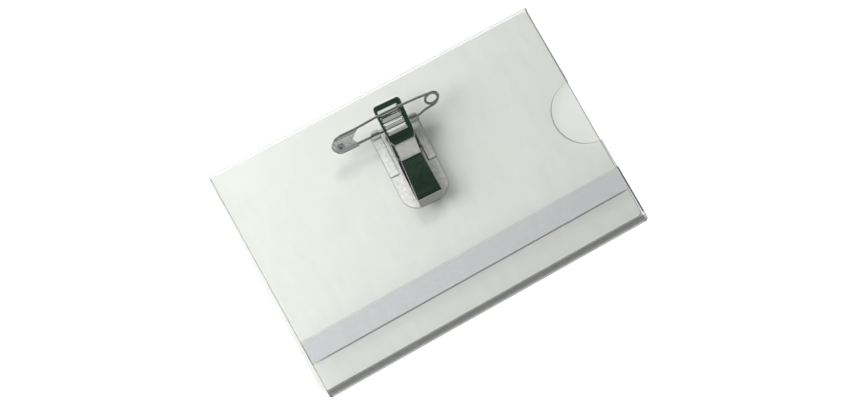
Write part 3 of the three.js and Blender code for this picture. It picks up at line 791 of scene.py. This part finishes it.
def make_cap(rows=48, columns=44):
    """The folded cap: rolled round the fixed arm, open at the back where the free arm hooks in."""
    sections = []
    for r in range(rows + 1):
        q = CAP_LOW + (CAP_HIGH - CAP_LOW) * (1 - math.cos(math.pi * r / rows)) / 2
        left, right = cap_ends(q)
        height = cap_height(q)
        front, back = [], []
        for c in range(columns + 1):
            p = left + (right - left) * c / columns
            edge = min((p - left) / CAP_SHOULDER, 1)
            rounded = height * (0.35 + 0.65 * math.sqrt(1 - (1 - edge) ** 2))
            top = rounded - cap_dent(p, q)
            open_back = min(max((q - CAP_NOTCH) / 0.4, 0), 1)
            bottom = -rounded * (1 - open_back) + min(CAP_MOUTH, height - 0.1) * open_back
            front.append((p, q, max(top, bottom + 0.08)))
            back.append((p, q, bottom))
        sections.append(front + back[::-1])
    vertices, faces, _ = loft(sections)
    cap = make_piece("pin_cap_shell", vertices, faces, PIN, [NICKEL_SATIN_SHADED], "pin",
                     ["pin_cap"], None, 50)
    bevelled(cap, 0.06, 2, 60)


# --- Assembly ---------------------------------------------------------------------------------------------

def repaint(node, material, bevel=0.0):
    """Give a CAD node its own material, and rounded edges where a bevel is given."""
    piece = frame["nodes"][node]
    piece.data.materials.clear()
    piece.data.materials.append(material)
    if bevel:
        bevelled(piece, bevel, 2, 35)


make_sheet()
make_card()
repaint("seam_tape", TAPE_MILKY)
repaint("base_pad", PAD_MILKY)
moulded("moulded_base", "clip_base", MOULD_SHADE_AND_LIGHT, "holder", 0.08, 30)
make_lever()
repaint("lower_jaw", NICKEL_SHADED, 0.06)
repaint("pivot_pin", NICKEL)
repaint("base_rivet", NICKEL)
make_spring()
make_free_arm()
make_fixed_arm()
make_coil()
make_cap()


# --- Studio -----------------------------------------------------------------------------------------------

def make_camera():
    camera = bpy.data.objects.new("camera", bpy.data.cameras.new("camera"))
    camera.data.lens, camera.data.sensor_width = LENS, SENSOR
    camera.data.clip_start, camera.data.clip_end = 0.01, 20
    place = Matrix.Translation(VIEW_TARGET)
    for degrees, axis in ((VIEW_TURN, "Z"), (VIEW_TILT, "X"), (VIEW_ROLL, "Z")):
        place = place @ Matrix.Rotation(math.radians(degrees), 4, axis)
    camera.matrix_world = place @ Matrix.Translation((0, 0, VIEW_DISTANCE))
    bpy.context.scene.collection.objects.link(camera)
    bpy.context.scene.camera = camera


def make_floor():
    """A wide sheet of pale paper, lit a little from within so that it stays white round the object."""
    s = Shader("floor_paper")
    paper = s.principled(Base_Color=s.colours(s.noise(0.05, 2.0), (0.93, 0.93, 0.93), (0.95, 0.95, 0.95)),
                         Roughness=0.9, Emission_Color=(1.0, 1.0, 1.0), Emission_Strength=0.6)
    material = s.done(paper)
    mesh = bpy.data.meshes.new("floor")
    reach, level = 3.0, -0.0001
    corners = [(-reach, -reach, level), (reach, -reach, level), (reach, reach, level), (-reach, reach, level)]
    mesh.from_pydata(corners, [], [(0, 1, 2, 3)])
    mesh.materials.append(material)
    floor = bpy.data.objects.new("floor", mesh)
    bpy.context.scene.collection.objects.link(floor)


def make_light(name, place, size, power):
    """A soft lamp at a place in metres that faces the object and isn't mirrored in its metal."""
    light = bpy.data.lights.new(name, "AREA")
    light.size = size
    light.energy = power
    lamp = bpy.data.objects.new(name, light)
    place = Vector(place)
    lamp.matrix_world = Matrix.Translation(place) @ place.to_track_quat("Z", "Y").to_matrix().to_4x4()
    lamp.visible_glossy = False
    bpy.context.scene.collection.objects.link(lamp)


def make_world():
    """A dim room with a dark green ceiling, a pale wall on the far side and a greyer one on the near side."""
    ceiling_dark, ceiling_green = (0.003, 0.012, 0.007), (0.075, 0.13, 0.095)
    room_grey, far_white = (0.17, 0.175, 0.17), (1.1, 1.1, 1.08)
    near_low, near_high = (0.36, 0.36, 0.35), (0.72, 0.72, 0.70)
    s = Shader("studio", bpy.data.worlds.new("studio"))
    bpy.context.scene.world = s.material
    towards = s.add("ShaderNodeTexCoord").outputs["Generated"]
    split = s.add("ShaderNodeSeparateXYZ")
    s.link(towards, split.inputs[0])
    patches = s.add("ShaderNodeTexNoise")
    patches.inputs["Scale"].default_value = 60.0
    s.link(towards, patches.inputs["Vector"])
    leafy = s.spread(patches.outputs["Fac"], 0, 1, 0.42, 0.66)
    overhead = s.spread(split.outputs["Z"], 0, 1, 0.80, 0.90)
    room = s.colours(overhead, room_grey, s.colours(leafy, ceiling_dark, ceiling_green))
    across = s.add("ShaderNodeMath", operation="ABSOLUTE")
    s.link(split.outputs["X"], across.inputs[0])
    wall = s.add("ShaderNodeMath", operation="MULTIPLY")
    s.link(s.spread(split.outputs["Y"], 0, 1, 0.28, 0.42), wall.inputs[0])
    s.link(s.spread(across.outputs["Value"], 1, 0, 0.42, 0.6), wall.inputs[1])
    far = s.colours(wall.outputs["Value"], room, far_white)
    near_wall = s.colours(s.spread(split.outputs["Z"], 0, 1, 0.35, 0.6), near_low, near_high)
    near = s.colours(s.spread(split.outputs["Y"], 0, 1, -0.50, -0.56), far, near_wall)
    background = s.add("ShaderNodeBackground")
    s.link(near, background.inputs["Color"])
    background.inputs["Strength"].default_value = 0.93
    output = s.add("ShaderNodeOutputWorld")
    s.link(background.outputs["Background"], output.inputs["Surface"])


make_camera()
make_floor()
make_world()
make_light("key", (0.109, 0.437, 0.40), 0.09, 0.72)
make_light("left", (-0.235, 0.12, 0.19), 0.24, 1.07)
bpy.context.scene.view_settings.view_transform = "Standard"
